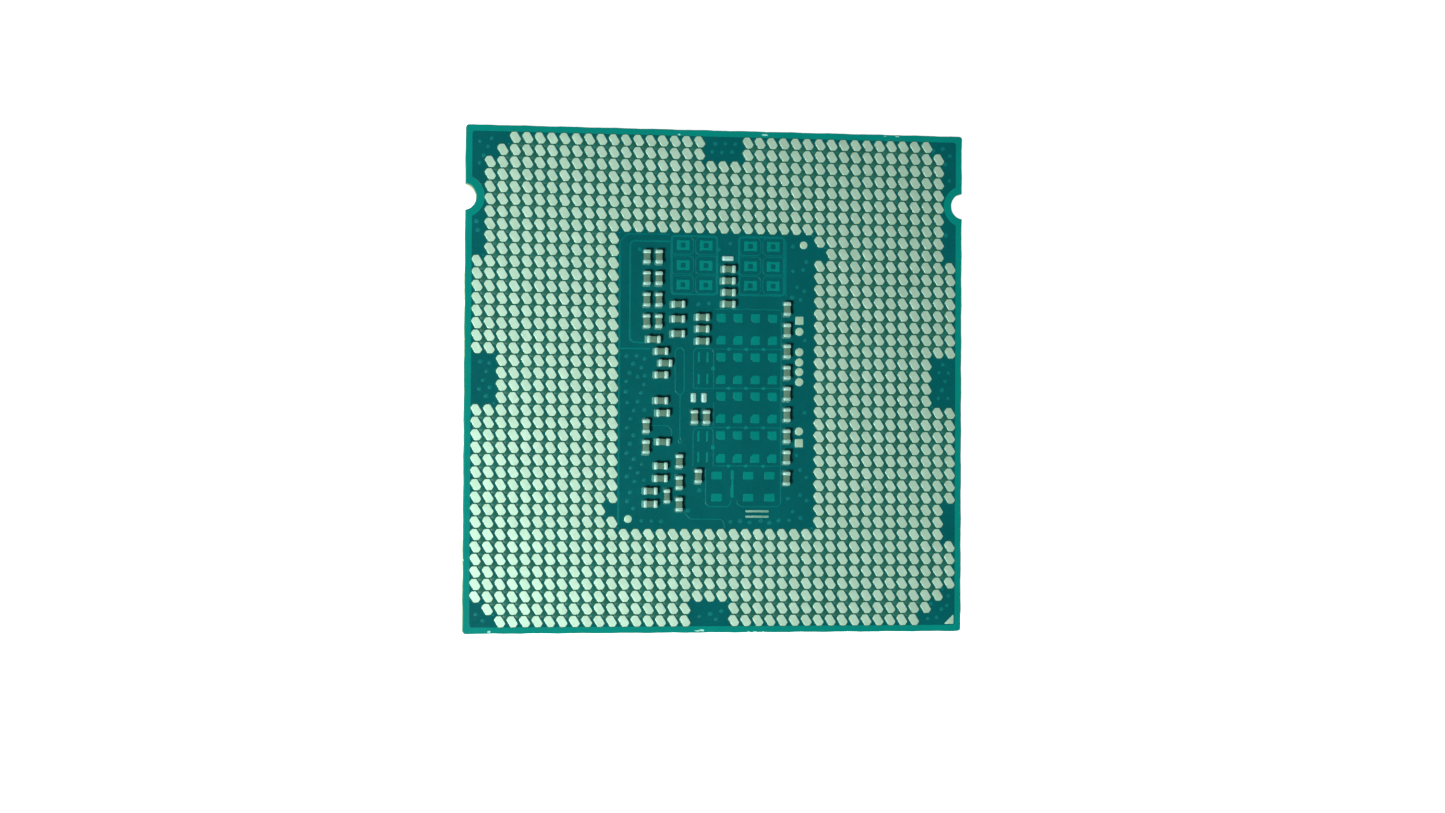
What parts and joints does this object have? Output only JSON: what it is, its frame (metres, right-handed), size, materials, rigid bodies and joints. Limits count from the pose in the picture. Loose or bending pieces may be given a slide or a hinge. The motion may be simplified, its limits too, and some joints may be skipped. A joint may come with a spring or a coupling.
{
  "type": "cpu processor",
  "caption": "Square land-grid processor package lying on its heat spreader, with rows of gold contact lands round a window of small capacitors.",
  "frame": {"origin": "centre of the heat spreader's outer flat face, which the part lies on", "axes": "+Z out of the land side, square to the package; +X and +Y along the package edges, with the pin-one corner at +X, -Y and the keying notches nearer +Y"},
  "size_m": [0.0376, 0.0376, 0.0048],
  "materials": {
    "plated_lid": "satin",
    "sealant": "matte",
    "thermal_compound": "matte",
    "silicon": "gloss",
    "solder": "satin",
    "underfill": "satin",
    "solder_mask": "satin",
    "lands": "satin",
    "capacitor": "satin"
  },
  "bodies": {
    "root": {"heat_spreader": "plated_lid", "lid_sealant": "sealant", "thermal_interface": "thermal_compound", "silicon_die": "silicon", "die_bump_layer": "solder", "die_underfill": "underfill", "package_substrate": "solder_mask", "land_bank_north": "lands", "land_bank_south": "lands", "land_bank_west": "lands", "land_bank_east": "lands", "pin_one_marker": "lands", "land_side_capacitor_01": "capacitor", "land_side_capacitor_02": "capacitor", "land_side_capacitor_03": "capacitor", "land_side_capacitor_04": "capacitor", "land_side_capacitor_05": "capacitor", "land_side_capacitor_06": "capacitor", "land_side_capacitor_07": "capacitor", "land_side_capacitor_08": "capacitor", "land_side_capacitor_09": "capacitor", "land_side_capacitor_10": "capacitor", "land_side_capacitor_11": "capacitor", "land_side_capacitor_12": "capacitor", "land_side_capacitor_13": "capacitor", "land_side_capacitor_14": "capacitor", "land_side_capacitor_15": "capacitor", "land_side_capacitor_16": "capacitor", "land_side_capacitor_17": "capacitor", "land_side_capacitor_18": "capacitor", "land_side_capacitor_19": "capacitor", "land_side_capacitor_20": "capacitor", "land_side_capacitor_21": "capacitor", "land_side_capacitor_22": "capacitor", "land_side_capacitor_23": "capacitor", "land_side_capacitor_24": "capacitor", "land_side_capacitor_25": "capacitor", "land_side_capacitor_26": "capacitor", "land_side_capacitor_27": "capacitor", "land_side_capacitor_28": "capacitor", "land_side_capacitor_29": "capacitor", "land_side_capacitor_30": "capacitor", "land_side_capacitor_31": "capacitor", "land_side_capacitor_32": "capacitor", "land_side_capacitor_33": "capacitor", "land_side_capacitor_34": "capacitor", "land_side_capacitor_35": "capacitor", "land_side_capacitor_36": "capacitor", "land_side_capacitor_37": "capacitor", "land_side_capacitor_38": "capacitor", "land_side_capacitor_39": "capacitor", "land_side_capacitor_40": "capacitor", "land_side_capacitor_41": "capacitor", "land_side_capacitor_42": "capacitor", "land_side_capacitor_43": "capacitor", "land_side_capacitor_44": "capacitor", "land_side_capacitor_45": "capacitor", "land_side_capacitor_46": "capacitor", "land_side_capacitor_47": "capacitor"}
  },
  "joints": []
}
